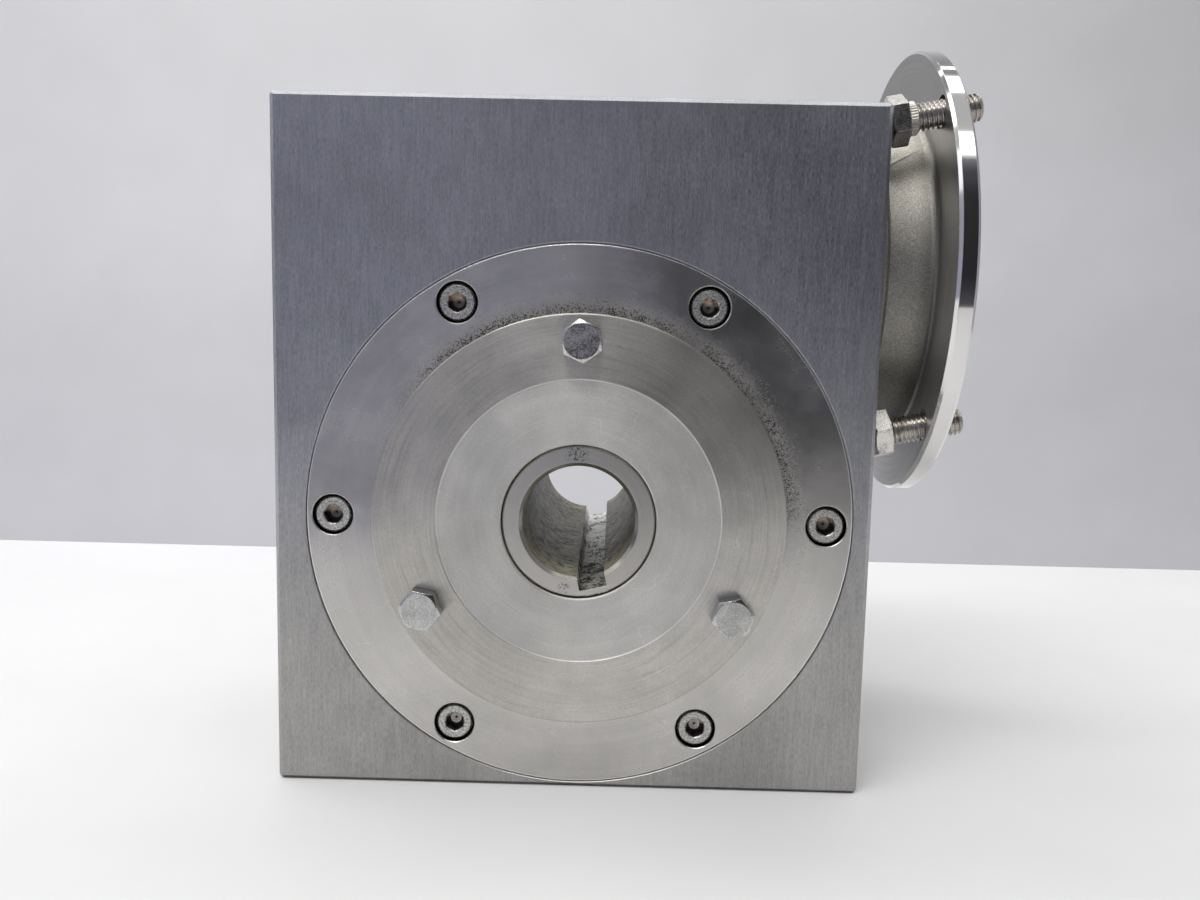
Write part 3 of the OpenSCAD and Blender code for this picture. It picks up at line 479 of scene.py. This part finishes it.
def cast_adapter():
    """Blasted casting: rough neck and turned flange faces, both with painted light and shade by height,
    polished rim.
    """
    look = Look("cast_adapter")
    radius, angle = look.around_x((0, 0, WORM_Z))
    x, _, z = look.split(look.place)
    on_rim = look.math("MULTIPLY", look.ramp(radius, FLANGE_R - 1.15 * MM, FLANGE_R - 0.95 * MM),
                       look.ramp(x, FLANGE_BACK - 0.2 * MM, FLANGE_BACK))
    on_neck = look.ramp(x, FLANGE_BACK - 0.9 * MM, FLANGE_BACK - 0.25 * MM, 1.0, 0.0)
    grain = look.noise((1900, 1900, 1900), detail=4, roughness=0.8)
    blotch = look.noise((70, 70, 70), detail=4, roughness=0.7)
    rings = look.join(look.math("MULTIPLY", radius, 1900), look.math("MULTIPLY", angle, 1.5), 0.0)
    grooves = look.noise((1, 1, 1), detail=2, vector=rings)
    # painted shade: the neck darker in the fillet next to the flange
    painted_fillet_shade = look.ramp(x, FLANGE_BACK - 8 * MM, FLANGE_BACK - 0.5 * MM, 1.0, 0.55)
    # painted light: the neck lighter towards the top, with a painted highlight at its crown
    painted_sky_light = look.ramp(z, WORM_Z - 55 * MM, WORM_Z + 30 * MM, 0.42, 1.1)
    painted_crown_highlight = look.ramp(z, WORM_Z + 34 * MM, WORM_Z + 54 * MM, 1.0, 2.4)
    neck = look.math("MULTIPLY", look.ramp(grain, 0.3, 0.7, 0.62, 1.35),
                     look.ramp(blotch, 0.3, 0.7, 0.9, 1.07))
    neck = look.math("MULTIPLY", look.math("MULTIPLY", neck, painted_fillet_shade),
                     look.math("MULTIPLY", painted_sky_light, painted_crown_highlight))
    neck = look.scaled_colour((0.385, 0.37, 0.33), neck)
    # painted shade: the flange faces lighter at the bottom and darker at the top
    face = look.math("MULTIPLY", look.ramp(grooves, 0.3, 0.7, 0.88, 1.06),
                     look.ramp(z, WORM_Z - 40 * MM, WORM_Z + 45 * MM, 1.6, 0.55))
    face = look.scaled_colour((0.50, 0.495, 0.485), face)
    rough_parts = look.mix(on_neck, face, neck)
    look.set("Base Color", look.mix(on_rim, rough_parts, (0.74, 0.735, 0.715)))
    look.set("Roughness", look.mix_value(on_rim, look.mix_value(on_neck, 0.36, 0.38), 0.08))
    climb = look.math("MULTIPLY", look.math("SUBTRACT", x, 100 * MM), 0.55)
    seam = look.math("SUBTRACT", look.math("SUBTRACT", z, WORM_Z + 34 * MM), climb)
    seam = look.math("ABSOLUTE", seam)
    seam_line = look.math("MULTIPLY", look.ramp(seam, 0.0, 0.9 * MM, 1.0, 0.0), 3.0)
    height = look.mix_value(on_neck, look.math("MULTIPLY", grooves, 0.6),
                            look.math("ADD", look.math("MULTIPLY", grain, 3.5), seam_line))
    height = look.math("MULTIPLY", height, look.math("SUBTRACT", 1.0, on_rim))
    look.set("Normal", look.bump(height, 0.06 * MM, 0.8, look.rounded_edges(0.3 * MM)))
    return look


def plain_metal(name, colour, roughness, wear=0.12):
    """Machined metal with fine mottling, for small and hidden pieces."""
    look = Look(name, roughness=roughness)
    grain = look.noise((900, 900, 900), detail=3, roughness=0.6)
    look.set("Base Color", look.scaled_colour(colour, look.ramp(grain, 0.3, 0.7, 1 - wear, 1 + wear)))
    look.set("Roughness", look.ramp(grain, 0.3, 0.7, roughness - 0.06, roughness + 0.08))
    look.set("Normal", look.bump(grain, 0.03 * MM, 0.5, look.rounded_edges(0.25 * MM)))
    return look


def turned_metal(name, colour, roughness, axis):
    """Lathe-turned metal with rings around the worm axis ("x") or the output axis ("y")."""
    look = Look(name, roughness=roughness)
    centre, keep = ((0, 0, WORM_Z), (0, 1, 1)) if axis == "x" else ((0, 0, 0), (1, 0, 1))
    radius, angle = look.around_x(centre) if axis == "x" else look.around_y(centre)
    rings = look.join(look.math("MULTIPLY", radius, 2100), look.math("MULTIPLY", angle, 1.2), 0.0)
    grooves = look.noise((1, 1, 1), detail=3, vector=rings)
    look.set("Base Color", look.scaled_colour(colour, look.ramp(grooves, 0.3, 0.7, 0.86, 1.08)))
    look.set("Anisotropic", 0.5)
    look.set("Tangent", look.radial_tangent(centre, keep))
    look.set("Normal", look.bump(grooves, 0.02 * MM, 0.5, look.rounded_edges(0.25 * MM)))
    return look


def rubber(name, colour):
    """Matt rubber with a fine skin."""
    look = Look(name, metallic=0.0, roughness=0.6)
    skin = look.noise((1400, 1400, 1400), detail=3)
    look.set("Base Color", look.scaled_colour(colour, look.ramp(skin, 0.3, 0.7, 0.8, 1.25)))
    look.set("Roughness", look.ramp(skin, 0.3, 0.7, 0.5, 0.7))
    look.set("Normal", look.bump(skin, 0.05 * MM, 0.5))
    return look


def dress_cad():
    """Materials of the CAD nodes that stay."""
    dress(["housing"], brushed_block())
    dress(["front_cover"], turned_cover("turned_front"))
    dress(["rear_cover"], turned_cover("turned_rear"))
    dress(["front_cover_screws"], socket_screws("front_socket_screws", screws_low.y))
    dress(["rear_cover_screws"], socket_screws("rear_socket_screws", screws_low.y))
    dress(["front_boss_bolts"], boss_bolts())
    dress(["output_shaft"], hollow_shaft())
    dress(["motor_adapter"], cast_adapter())
    dress(["tail_cap"], turned_metal("tail_cap_face", (0.60, 0.60, 0.595), 0.3, "x"))
    dress(["worm_shaft"], turned_metal("worm_steel", (0.46, 0.46, 0.47), 0.3, "x"))
    dress(["wheel_hub"], turned_metal("hub_iron", (0.22, 0.22, 0.23), 0.45, "y"))
    dress(["worm_wheel"], turned_metal("bronze", (0.68, 0.44, 0.17), 0.32, "y"))
    dress(["tail_cap_screws"], plain_metal("cap_screws", (0.50, 0.49, 0.47), 0.32))
    dress(["adapter_screws"], plain_metal("dark_screws", (0.06, 0.06, 0.065), 0.38))
    dress(["oil_plugs"], plain_metal("plug_steel", (0.52, 0.52, 0.53), 0.32))
    dress(["wheel_key", "wheel_spacer"], plain_metal("key_steel", (0.42, 0.42, 0.43), 0.35))
    dress(["output_circlips", "worm_bearing_rings", "worm_circlip"],
          plain_metal("spring_steel", (0.12, 0.12, 0.13), 0.4))
    steel = plain_metal("bearing_steel", (0.62, 0.62, 0.64), 0.16, wear=0.04)
    brass = plain_metal("cage_brass", (0.70, 0.52, 0.22), 0.3)
    for place in ("front", "rear", "input", "tail"):
        dress([f"{place}_bearing_{piece}" for piece in ("outer", "inner", "balls")], steel)
        dress([f"{place}_bearing_cage"], brass)
    dress(["front_shaft_seal", "rear_shaft_seal", "input_seal"],
          rubber("seal_rubber", (0.03, 0.026, 0.024)))
    dress(["front_cover_seal", "rear_cover_seal", "tail_cap_seal"],
          rubber("ring_rubber", (0.02, 0.02, 0.02)))
    dress(["adapter_gasket"], rubber("gasket_sheet", (0.05, 0.06, 0.05)))


# ---- threaded motor bolts ----

BOLT_CIRCLE = 74.6 * MM
BOLT_R = 4.76 * MM
THREAD_PITCH = 1.5875 * MM
THREAD_DEPTH = 0.92 * MM
HEAD_FLATS = 15.0 * MM
HEAD_HEIGHT = 6.2 * MM
# shorter than the CAD's bolt, so that a sagging bolt stays inside the CAD's box
BOLT_LENGTH = 24.8 * MM
# at most the CAD's distance: a sagging head further back would cut into the block
SEAT_BEHIND_FLANGE = 11.8 * MM
COLLARED = (1, 2)
HEAD_TURNS = (7, 24, 0, 16)
SAG = math.radians(10.6)


def lathe_mesh(name, rings, segments, radius_at):
    """Closed mesh along +X from rings of (x, key). radius_at(x, key, angle) gives x and radius."""
    points = [(rings[0][0], 0.0, 0.0)]
    faces = []
    for x, key in rings:
        for s in range(segments):
            angle = 2 * math.pi * s / segments
            px, r = radius_at(x, key, angle)
            points.append((px, r * math.cos(angle), r * math.sin(angle)))
    points.append((rings[-1][0], 0.0, 0.0))
    for s in range(segments):
        faces.append((0, 1 + s, 1 + (s + 1) % segments))
    for row in range(len(rings) - 1):
        a = 1 + row * segments
        b = a + segments
        for s in range(segments):
            t = (s + 1) % segments
            faces.append((a + s, b + s, b + t, a + t))
    last = 1 + (len(rings) - 1) * segments
    for s in range(segments):
        faces.append((len(points) - 1, last + (s + 1) % segments, last + s))
    mesh = bpy.data.meshes.new(name)
    mesh.from_pydata(points, [], faces)
    mesh.validate()
    return mesh


def hex_radius(angle):
    """Radius of a hexagon with flats HEAD_FLATS apart."""
    from_flat = (angle + math.pi / 6) % (math.pi / 3) - math.pi / 6
    return HEAD_FLATS / 2 / math.cos(from_flat)


def head_mesh():
    """Hex head from x = -HEAD_HEIGHT (chamfered face) to x = 0 (seat)."""
    face_r = HEAD_FLATS / 2 * 0.955
    washer_r = HEAD_FLATS / 2 * 0.93

    def radius_at(x, key, angle):
        if key == "face":
            return x, face_r
        if key == "corner":
            r = hex_radius(angle)
            return x + (r - face_r) * math.tan(math.radians(28)), r
        if key == "seat_edge":
            return x, hex_radius(angle)
        return x, washer_r

    rings = [(-HEAD_HEIGHT, "face"), (-HEAD_HEIGHT, "corner"), (-0.35 * MM, "seat_edge"),
             (-0.35 * MM, "washer"), (0.0, "washer")]
    return lathe_mesh("bolt_head", rings, 96, radius_at)


def thread_mesh(length):
    """Threaded shank from x = 0, with a run-out under the head and a chamfered tip."""
    steps = int(length / (THREAD_PITCH / 9))
    rings = [(length * i / steps, "") for i in range(steps + 1)]

    def radius_at(x, _key, angle):
        t = (x / THREAD_PITCH - angle / (2 * math.pi)) % 1.0
        tooth = min(1.0, max(0.0, 1.28 - abs(t - 0.5) * 2 * 1.55))
        root = BOLT_R - THREAD_DEPTH
        r = root + THREAD_DEPTH * tooth * min(1.0, x / (1.2 * MM))
        tip = BOLT_R - max(0.0, x - (length - 1.1 * MM)) * 0.9
        return x, min(r, tip)

    return lathe_mesh("bolt_thread", rings, 56, radius_at)


def collar_mesh():
    """Ribbed collar on the shank, 2.9 mm long, starting just clear of the head."""
    def radius_at(x, key, angle):
        rib = 0.12 * MM * math.cos(36 * angle)
        if key == "in":
            return x, 4.5 * MM
        if key == "edge":
            return x, 5.35 * MM + rib
        return x, 5.55 * MM + rib

    rings = [(0.05 * MM, "in"), (0.05 * MM, "edge"), (0.3 * MM, "out"), (2.7 * MM, "out"),
             (2.95 * MM, "edge"), (2.95 * MM, "in")]
    return lathe_mesh("bolt_collar", rings, 288, radius_at)


def place_piece(name, mesh, matrix, look, body, smooth_angle=32):
    """Adds a copy of a mesh, moved by a matrix, with its material, riding on a body."""
    piece = bpy.data.objects.new(name, mesh.copy())
    piece.data.transform(matrix)
    bpy.context.scene.collection.objects.link(piece)
    piece.data.materials.append(look.material)
    for polygon in piece.data.polygons:
        polygon.use_smooth = True
    modifier = piece.modifiers.new("sharp", "EDGE_SPLIT")
    modifier.split_angle = math.radians(smooth_angle)
    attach(piece, body)
    return piece


def motor_bolts():
    """Four hex bolts hanging loose through the flange, the upper two with a collar."""
    steel = mottled_bolts("motor_bolt_steel", (0.66, 0.64, 0.60), (0.30, 0.28, 0.25))
    pale = plain_metal("collar_pale", (0.72, 0.69, 0.62), 0.42)
    thread_steel = mottled_bolts("motor_bolt_thread_steel", (0.56, 0.53, 0.49), (0.26, 0.24, 0.21))
    head = head_mesh()
    thread = thread_mesh(BOLT_LENGTH)
    collar = collar_mesh()
    bolts = []
    collars = []
    for i, turn in enumerate(HEAD_TURNS):
        angle = math.radians(45 + 90 * i)
        hole = Vector(((FLANGE_BACK + FLANGE_FRONT) / 2, BOLT_CIRCLE * math.sin(angle),
                       WORM_Z - BOLT_CIRCLE * math.cos(angle)))
        reach = FLANGE_BACK - SEAT_BEHIND_FLANGE - hole.x
        matrix = (Matrix.Translation(hole) @ Matrix.Rotation(-SAG, 4, "Y")
                  @ Matrix.Translation((reach, 0, 0))
                  @ Matrix.Rotation(math.radians(turn), 4, "X"))
        bolts.append(place_piece(f"motor_bolt_head_{i}", head, matrix, steel, "housing"))
        bolts.append(place_piece(f"motor_bolt_thread_{i}", thread, matrix, thread_steel, "housing",
                                 60))
        if i in COLLARED:
            collars.append(place_piece(f"motor_bolt_collar_{i}", collar, matrix, pale, "housing"))
    for piece in bolts:
        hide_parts("motor_bolts")
    for piece in collars:
        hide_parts("motor_bolt_collars")


# ---- stage, light, camera ----

WALL_Y = 0.30
TABLE_HALF = 1.6
TABLE_FRONT = -0.45
WALL_FAR = 1.2
WALL_TOP = 2.6
SHADE_START = -0.3
SHADE_STEP = 0.4
CARD_LEFT = 0.04
CARD_RIGHT = 1.3
CARD_Y = -1.1
CARD_TOP = 1.75


def stage_plane(name, corners, colour, roughness, shades=(1.0,)):
    """Flat piece of the stage. Shades multiply its colour in even steps from z = -0.3 m up."""
    mesh = bpy.data.meshes.new(name)
    mesh.from_pydata(corners, [], [tuple(range(len(corners)))])
    plane = bpy.data.objects.new(name, mesh)
    bpy.context.scene.collection.objects.link(plane)
    look = Look(name + "_paint", metallic=0.0, roughness=roughness)
    mottle = look.noise((9, 9, 9), detail=3)
    _, _, z = look.split(look.place)
    shade = look.ramp(mottle, 0.3, 0.7, 0.985, 1.015)
    for step, (below, above) in enumerate(zip(shades, shades[1:])):
        low = SHADE_START + SHADE_STEP * step
        rise = look.ramp(z, low, low + SHADE_STEP, 1.0, above / below)
        shade = look.math("MULTIPLY", shade, rise)
    shade = look.math("MULTIPLY", shade, shades[0])
    look.set("Base Color", look.scaled_colour(colour, shade))
    mesh.materials.append(look.material)
    return plane


def stage():
    """Table, far wall, and a dark card in front. The camera can't see the card, and it casts no shadow."""
    stage_plane("table", [(-TABLE_HALF, TABLE_FRONT, BASE_Z), (0.02, TABLE_FRONT, BASE_Z),
                          (0.28, TABLE_FRONT - 0.2, BASE_Z), (TABLE_HALF, TABLE_FRONT - 0.2, BASE_Z),
                          (TABLE_HALF, WALL_Y, BASE_Z), (-TABLE_HALF, WALL_Y, BASE_Z)],
                (0.84, 0.84, 0.845), 0.5)
    # painted shade: the far wall darker towards its top
    stage_plane("wall", [(-TABLE_HALF * 3, WALL_FAR, -1), (TABLE_HALF * 3, WALL_FAR, -1),
                         (TABLE_HALF * 3, WALL_FAR, WALL_TOP), (-TABLE_HALF * 3, WALL_FAR, WALL_TOP)],
                (0.935, 0.935, 0.935), 0.9, (1.0, 0.86, 0.72, 0.7))
    # painted reflection: a dark sheet standing in for the dark room in front, with paler bands near its
    # bottom and top
    card = stage_plane("dark_card", [(CARD_LEFT, CARD_Y, -0.6), (CARD_RIGHT, CARD_Y, -0.6),
                                     (CARD_RIGHT, CARD_Y, CARD_TOP),
                                     (CARD_LEFT, CARD_Y, CARD_TOP)],
                       (0.02, 0.02, 0.024), 0.9, (6.0, 1.0, 1.0, 1.0, 4.0, 14.0))
    card.visible_camera = False
    card.visible_shadow = False


def area_light(name, place, target, size, power, colour=(1, 1, 1)):
    data = bpy.data.lights.new(name, "AREA")
    data.shape = "RECTANGLE"
    data.size, data.size_y = size
    data.energy = power
    data.color = colour
    lamp = bpy.data.objects.new(name, data)
    lamp.location = place
    lamp.rotation_euler = (Vector(target) - Vector(place)).to_track_quat("-Z", "Y").to_euler()
    bpy.context.scene.collection.objects.link(lamp)


ROOM_LEFT = (0.345, 0.35, 0.43, 1)
ROOM_RIGHT = (0.10, 0.10, 0.105, 1)
ROOM_FAR_RIGHT = (0.34, 0.34, 0.35, 1)
ROOM_BACK = (0.62, 0.62, 0.63, 1)
CEILING = (0.55, 0.55, 0.56, 1)
BACKDROP = (0.60, 0.60, 0.61, 1)
LAMP_COLOUR = (3.0, 2.97, 2.9, 1)
LAMP_ROWS = ((59, 74), (100, 116))


def room():
    """Surroundings that light the part: pale ceiling with two lamp rows, blue-grey on the left,
    darker towards the right front. The camera itself sees a plain backdrop."""
    world = bpy.data.worlds.new("room")
    bpy.context.scene.world = world
    world.use_nodes = True
    tree = world.node_tree
    tree.nodes.clear()

    def node(kind, inputs=(), **settings):
        made = tree.nodes.new(kind)
        for key, value in settings.items():
            setattr(made, key, value)
        for key, value in dict(inputs).items():
            if isinstance(value, bpy.types.NodeSocket):
                tree.links.new(value, made.inputs[key])
            else:
                made.inputs[key].default_value = value
        return made

    def ramp(value, low, high):
        return node("ShaderNodeMapRange", {"Value": value, "From Min": low, "From Max": high},
                    interpolation_type="SMOOTHSTEP").outputs[0]

    def mix(factor, a, b):
        return node("ShaderNodeMix", {0: factor, 6: a, 7: b}, data_type="RGBA").outputs[2]

    way = node("ShaderNodeTexCoord").outputs["Generated"]
    parts = node("ShaderNodeSeparateXYZ", {0: way})
    x, y, z = parts.outputs[0], parts.outputs[1], parts.outputs[2]
    sides = mix(ramp(x, -0.06, 0.22), ROOM_LEFT, ROOM_RIGHT)
    far_side = mix(ramp(x, 0.35, 0.75), sides, ROOM_FAR_RIGHT)
    level = mix(ramp(y, -0.2, 0.3), far_side, ROOM_BACK)
    colour = mix(ramp(z, 0.30, 0.80), level, CEILING)
    towards_front = node("ShaderNodeMath", {0: y, 1: -1.0}, operation="MULTIPLY").outputs[0]
    over = node("ShaderNodeMath", {0: z, 1: towards_front}, operation="ARCTAN2").outputs[0]
    for low, high in LAMP_ROWS:
        inside = [ramp(over, math.radians(low), math.radians(low + 2)),
                  ramp(over, math.radians(high), math.radians(high - 2)),
                  ramp(x, -0.85, -0.75), ramp(x, 0.5, 0.4)]
        lamp = inside[0]
        for part in inside[1:]:
            lamp = node("ShaderNodeMath", {0: lamp, 1: part}, operation="MULTIPLY").outputs[0]
        colour = mix(lamp, colour, LAMP_COLOUR)
    seen = node("ShaderNodeLightPath").outputs["Is Camera Ray"]
    background = node("ShaderNodeBackground", {"Color": mix(seen, colour, BACKDROP),
                                               "Strength": 1.0})
    output = node("ShaderNodeOutputWorld")
    tree.links.new(background.outputs[0], output.inputs["Surface"])


def lights():
    """Four soft area lamps: overhead, left window, front, and one washing the far wall."""
    area_light("overhead", (-0.45, 0.0, 1.5), (0, 0, 0), (1.1, 0.8), 0.6, (1, 0.99, 0.97))
    area_light("left_window", (-1.6, 0.0, 0.9), (0, 0, 0), (0.8, 1.0), 2.2, (0.96, 0.98, 1))
    area_light("front", (-0.3, -0.75, 1.4), (-0.1, -0.3, -0.1), (0.9, 0.25), 7.0, (1, 0.99, 0.98))
    area_light("wall_wash", (-0.3, 0.45, 0.8), (-0.25, 1.2, 0.1), (1.8, 0.3), 5.3)


CAMERA_PLACE = (0.01065, -0.4276, 0.0701)
CAMERA_PITCH = -0.126
CAMERA_YAW = -0.011
CAMERA_ROLL = 0.023
SENSOR_WIDTH = 36
FOCAL_LENGTH = 32.358


def camera():
    data = bpy.data.cameras.new("camera")
    data.sensor_width = SENSOR_WIDTH
    data.lens = FOCAL_LENGTH
    data.clip_start = 0.01
    data.dof.use_dof = False
    eye = bpy.data.objects.new("camera", data)
    turn = (Matrix.Rotation(-CAMERA_YAW, 4, "Z")
            @ Matrix.Rotation(math.pi / 2 + CAMERA_PITCH, 4, "X")
            @ Matrix.Rotation(CAMERA_ROLL, 4, "Z"))
    eye.matrix_world = Matrix.Translation(CAMERA_PLACE) @ turn
    bpy.context.scene.collection.objects.link(eye)
    bpy.context.scene.camera = eye


dress_cad()
motor_bolts()
stage()
room()
lights()
camera()
bpy.context.scene.view_settings.view_transform = "Standard"
